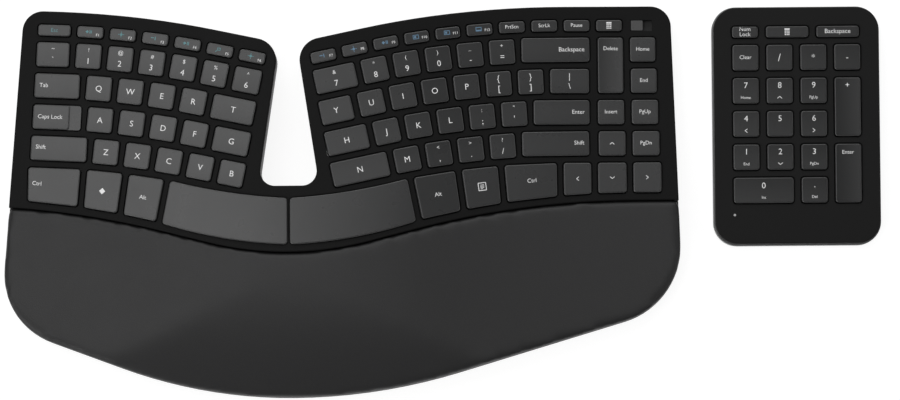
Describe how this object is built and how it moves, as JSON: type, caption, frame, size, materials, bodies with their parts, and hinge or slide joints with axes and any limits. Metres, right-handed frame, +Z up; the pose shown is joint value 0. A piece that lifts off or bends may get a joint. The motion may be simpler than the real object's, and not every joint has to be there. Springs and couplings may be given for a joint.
{
  "type": "ergonomic keyboard with number pad",
  "caption": "Domed split-layout wireless keyboard with a notch between its halves, a cushioned palm rest and a separate slim number pad.",
  "frame": {"origin": "centre of the footprint of keyboard and number pad, on the desk under the rubber feet", "axes": "+X to the user's right along the key rows, +Y away from the user, +Z up"},
  "size_m": [0.5088, 0.2258, 0.0386],
  "materials": {
    "key_caps": "satin",
    "deck_shell": "gloss",
    "case_shell": "fine texture",
    "pad_case_shell": "satin",
    "palm_cover": "grained",
    "foot_rubber": "matte",
    "dome_rubber": "matte",
    "membrane_film": "clear film",
    "plate_metal": "rolled",
    "link_plastic": "plain",
    "steel_wire": "drawn",
    "contact_metal": "plated",
    "cell_metal": "plain wrap",
    "board_laminate": "lacquered",
    "switch_plastic": "satin",
    "legend_ink": "matte",
    "light_lens": "clear"
  },
  "bodies": {
    "keyboard_shell": {"bottom_case": "case_shell", "key_deck": "deck_shell", "backplate": "plate_metal", "membrane_sheet": "membrane_film", "rubber_domes": "dome_rubber", "scissor_links": "link_plastic", "stabiliser_wires": "steel_wire", "case_screws": "steel_wire", "circuit_board": "board_laminate", "battery_cells": "cell_metal", "battery_contacts": "contact_metal", "palm_rest_pad": "palm_cover", "palm_rest_base": "case_shell", "rubber_feet": "foot_rubber"},
    "function_keys_left_body": {"function_keys_left": "key_caps"},
    "function_keys_right_body": {"function_keys_right": "key_caps"},
    "number_keys_left_body": {"number_keys_left": "key_caps"},
    "number_keys_right_body": {"number_keys_right": "key_caps"},
    "backspace_key_body": {"backspace_key": "key_caps"},
    "top_letter_keys_left_body": {"top_letter_keys_left": "key_caps"},
    "tab_key_body": {"tab_key": "key_caps"},
    "top_letter_keys_right_body": {"top_letter_keys_right": "key_caps"},
    "home_letter_keys_left_body": {"home_letter_keys_left": "key_caps"},
    "caps_lock_key_body": {"caps_lock_key": "key_caps"},
    "home_letter_keys_right_body": {"home_letter_keys_right": "key_caps"},
    "enter_key_body": {"enter_key": "key_caps"},
    "bottom_letter_keys_left_body": {"bottom_letter_keys_left": "key_caps"},
    "left_shift_key_body": {"left_shift_key": "key_caps"},
    "bottom_letter_keys_right_body": {"bottom_letter_keys_right": "key_caps"},
    "right_shift_key_body": {"right_shift_key": "key_caps"},
    "navigation_keys_body": {"navigation_keys": "key_caps"},
    "delete_key_body": {"delete_key": "key_caps"},
    "arrow_keys_body": {"arrow_keys": "key_caps"},
    "left_space_bar_body": {"left_space_bar": "key_caps"},
    "left_alt_key_body": {"left_alt_key": "key_caps"},
    "left_symbol_key_body": {"left_symbol_key": "key_caps"},
    "left_ctrl_key_body": {"left_ctrl_key": "key_caps"},
    "right_space_bar_body": {"right_space_bar": "key_caps"},
    "right_alt_key_body": {"right_alt_key": "key_caps"},
    "menu_key_body": {"menu_key": "key_caps"},
    "right_ctrl_key_body": {"right_ctrl_key": "key_caps"},
    "function_switch_body": {"function_switch": "switch_plastic"},
    "battery_door_body": {"battery_door": "case_shell"},
    "number_pad": {"pad_bottom_case": "pad_case_shell", "pad_deck": "deck_shell", "pad_backplate": "plate_metal", "pad_membrane_sheet": "membrane_film", "pad_rubber_domes": "dome_rubber", "pad_scissor_links": "link_plastic", "pad_screws": "steel_wire", "pad_status_light": "light_lens", "pad_rubber_feet": "foot_rubber", "pad_battery": "cell_metal", "pad_circuit_board": "board_laminate"},
    "pad_function_keys_body": {"pad_function_keys": "key_caps"},
    "pad_operator_keys_body": {"pad_operator_keys": "key_caps"},
    "pad_digit_keys_body": {"pad_digit_keys": "key_caps"},
    "pad_tall_keys_body": {"pad_tall_keys": "key_caps"},
    "pad_zero_key_body": {"pad_zero_key": "key_caps"},
    "pad_battery_door_body": {"pad_battery_door": "pad_case_shell"}
  },
  "joints": [
    {"name": "function_keys_left_press", "type": "slide", "parent": "keyboard_shell", "child": "function_keys_left_body", "axis": [0.0827, -0.0522, -0.9952], "range_m": [0, 0.002], "stiffness_N_per_m": 250, "springref_m": -0.001},
    {"name": "function_keys_right_press", "type": "slide", "parent": "keyboard_shell", "child": "function_keys_right_body", "axis": [-0.0828, -0.0522, -0.9952], "range_m": [0, 0.002], "stiffness_N_per_m": 250, "springref_m": -0.001},
    {"name": "number_keys_left_press", "type": "slide", "parent": "keyboard_shell", "child": "number_keys_left_body", "axis": [0.0844, -0.0522, -0.9951], "range_m": [0, 0.002], "stiffness_N_per_m": 250, "springref_m": -0.001},
    {"name": "number_keys_right_press", "type": "slide", "parent": "keyboard_shell", "child": "number_keys_right_body", "axis": [-0.0997, -0.0521, -0.9937], "range_m": [0, 0.002], "stiffness_N_per_m": 250, "springref_m": -0.001},
    {"name": "backspace_key_press", "type": "slide", "parent": "keyboard_shell", "child": "backspace_key_body", "axis": [-0.0698, -0.0522, -0.9962], "range_m": [0, 0.002], "stiffness_N_per_m": 250, "springref_m": -0.001},
    {"name": "top_letter_keys_left_press", "type": "slide", "parent": "keyboard_shell", "child": "top_letter_keys_left_body", "axis": [0.0972, -0.0521, -0.9939], "range_m": [0, 0.002], "stiffness_N_per_m": 250, "springref_m": -0.001},
    {"name": "tab_key_press", "type": "slide", "parent": "keyboard_shell", "child": "tab_key_body", "axis": [0.053, -0.0523, -0.9972], "range_m": [0, 0.002], "stiffness_N_per_m": 250, "springref_m": -0.001},
    {"name": "top_letter_keys_right_press", "type": "slide", "parent": "keyboard_shell", "child": "top_letter_keys_right_body", "axis": [-0.0929, -0.0521, -0.9943], "range_m": [0, 0.002], "stiffness_N_per_m": 250, "springref_m": -0.001},
    {"name": "home_letter_keys_left_press", "type": "slide", "parent": "keyboard_shell", "child": "home_letter_keys_left_body", "axis": [0.0976, -0.0521, -0.9939], "range_m": [0, 0.002], "stiffness_N_per_m": 250, "springref_m": -0.001},
    {"name": "caps_lock_key_press", "type": "slide", "parent": "keyboard_shell", "child": "caps_lock_key_body", "axis": [0.0526, -0.0523, -0.9972], "range_m": [0, 0.002], "stiffness_N_per_m": 250, "springref_m": -0.001},
    {"name": "home_letter_keys_right_press", "type": "slide", "parent": "keyboard_shell", "child": "home_letter_keys_right_body", "axis": [-0.1018, -0.0521, -0.9934], "range_m": [0, 0.002], "stiffness_N_per_m": 250, "springref_m": -0.001},
    {"name": "enter_key_press", "type": "slide", "parent": "keyboard_shell", "child": "enter_key_body", "axis": [-0.0666, -0.0522, -0.9964], "range_m": [0, 0.002], "stiffness_N_per_m": 250, "springref_m": -0.001},
    {"name": "bottom_letter_keys_left_press", "type": "slide", "parent": "keyboard_shell", "child": "bottom_letter_keys_left_body", "axis": [0.0977, -0.0521, -0.9938], "range_m": [0, 0.002], "stiffness_N_per_m": 250, "springref_m": -0.001},
    {"name": "left_shift_key_press", "type": "slide", "parent": "keyboard_shell", "child": "left_shift_key_body", "axis": [0.0546, -0.0523, -0.9971], "range_m": [0, 0.002], "stiffness_N_per_m": 250, "springref_m": -0.001},
    {"name": "bottom_letter_keys_right_press", "type": "slide", "parent": "keyboard_shell", "child": "bottom_letter_keys_right_body", "axis": [-0.1075, -0.052, -0.9928], "range_m": [0, 0.002], "stiffness_N_per_m": 250, "springref_m": -0.001},
    {"name": "right_shift_key_press", "type": "slide", "parent": "keyboard_shell", "child": "right_shift_key_body", "axis": [-0.0702, -0.0522, -0.9962], "range_m": [0, 0.002], "stiffness_N_per_m": 250, "springref_m": -0.001},
    {"name": "navigation_keys_press", "type": "slide", "parent": "keyboard_shell", "child": "navigation_keys_body", "axis": [-0.0237, -0.0523, -0.9983], "range_m": [0, 0.002], "stiffness_N_per_m": 250, "springref_m": -0.001},
    {"name": "delete_key_press", "type": "slide", "parent": "keyboard_shell", "child": "delete_key_body", "axis": [-0.0388, -0.0523, -0.9979], "range_m": [0, 0.002], "stiffness_N_per_m": 250, "springref_m": -0.001},
    {"name": "arrow_keys_press", "type": "slide", "parent": "keyboard_shell", "child": "arrow_keys_body", "axis": [-0.0384, -0.0523, -0.9979], "range_m": [0, 0.002], "stiffness_N_per_m": 250, "springref_m": -0.001},
    {"name": "left_space_bar_press", "type": "slide", "parent": "keyboard_shell", "child": "left_space_bar_body", "axis": [0.0614, -0.0522, -0.9967], "range_m": [0, 0.002], "stiffness_N_per_m": 250, "springref_m": -0.001, "deforming": ["rubber_domes", "scissor_links", "stabiliser_wires"]},
    {"name": "left_alt_key_press", "type": "slide", "parent": "keyboard_shell", "child": "left_alt_key_body", "axis": [0.1388, -0.0518, -0.989], "range_m": [0, 0.002], "stiffness_N_per_m": 250, "springref_m": -0.001},
    {"name": "left_symbol_key_press", "type": "slide", "parent": "keyboard_shell", "child": "left_symbol_key_body", "axis": [0.0985, -0.0521, -0.9938], "range_m": [0, 0.002], "stiffness_N_per_m": 250, "springref_m": -0.001},
    {"name": "left_ctrl_key_press", "type": "slide", "parent": "keyboard_shell", "child": "left_ctrl_key_body", "axis": [0.0498, -0.0523, -0.9974], "range_m": [0, 0.002], "stiffness_N_per_m": 250, "springref_m": -0.001},
    {"name": "right_space_bar_press", "type": "slide", "parent": "keyboard_shell", "child": "right_space_bar_body", "axis": [-0.0616, -0.0522, -0.9967], "range_m": [0, 0.002], "stiffness_N_per_m": 250, "springref_m": -0.001},
    {"name": "right_alt_key_press", "type": "slide", "parent": "keyboard_shell", "child": "right_alt_key_body", "axis": [-0.137, -0.0518, -0.9892], "range_m": [0, 0.002], "stiffness_N_per_m": 250, "springref_m": -0.001},
    {"name": "menu_key_press", "type": "slide", "parent": "keyboard_shell", "child": "menu_key_body", "axis": [-0.1122, -0.052, -0.9923], "range_m": [0, 0.002], "stiffness_N_per_m": 250, "springref_m": -0.001},
    {"name": "right_ctrl_key_press", "type": "slide", "parent": "keyboard_shell", "child": "right_ctrl_key_body", "axis": [-0.0843, -0.0521, -0.9951], "range_m": [0, 0.002], "stiffness_N_per_m": 250, "springref_m": -0.001},
    {"name": "function_switch_slide", "type": "slide", "parent": "keyboard_shell", "child": "function_switch_body", "axis": [0.9998, -0.0011, -0.0212], "range_m": [0, 0.005]},
    {"name": "battery_door_lift", "type": "slide", "parent": "keyboard_shell", "child": "battery_door_body", "axis": [0, 0, -1], "range_m": [0, 0.012]},
    {"name": "number_pad_place", "type": "slide", "parent": "keyboard_shell", "child": "number_pad", "axis": [1, 0, 0], "range_m": [0, 0.15]},
    {"name": "pad_function_keys_press", "type": "slide", "parent": "number_pad", "child": "pad_function_keys_body", "axis": [0, 0, -1], "range_m": [0, 0.002], "stiffness_N_per_m": 250, "springref_m": -0.001},
    {"name": "pad_operator_keys_press", "type": "slide", "parent": "number_pad", "child": "pad_operator_keys_body", "axis": [0, 0, -1], "range_m": [0, 0.002], "stiffness_N_per_m": 250, "springref_m": -0.001},
    {"name": "pad_digit_keys_press", "type": "slide", "parent": "number_pad", "child": "pad_digit_keys_body", "axis": [0, 0, -1], "range_m": [0, 0.002], "stiffness_N_per_m": 250, "springref_m": -0.001, "deforming": ["pad_rubber_domes", "pad_scissor_links"]},
    {"name": "pad_tall_keys_press", "type": "slide", "parent": "number_pad", "child": "pad_tall_keys_body", "axis": [0, 0, -1], "range_m": [0, 0.002], "stiffness_N_per_m": 250, "springref_m": -0.001},
    {"name": "pad_zero_key_press", "type": "slide", "parent": "number_pad", "child": "pad_zero_key_body", "axis": [0, 0, -1], "range_m": [0, 0.002], "stiffness_N_per_m": 250, "springref_m": -0.001},
    {"name": "pad_battery_door_lift", "type": "slide", "parent": "number_pad", "child": "pad_battery_door_body", "axis": [0, 0, -1], "range_m": [0, 0.012]}
  ]
}
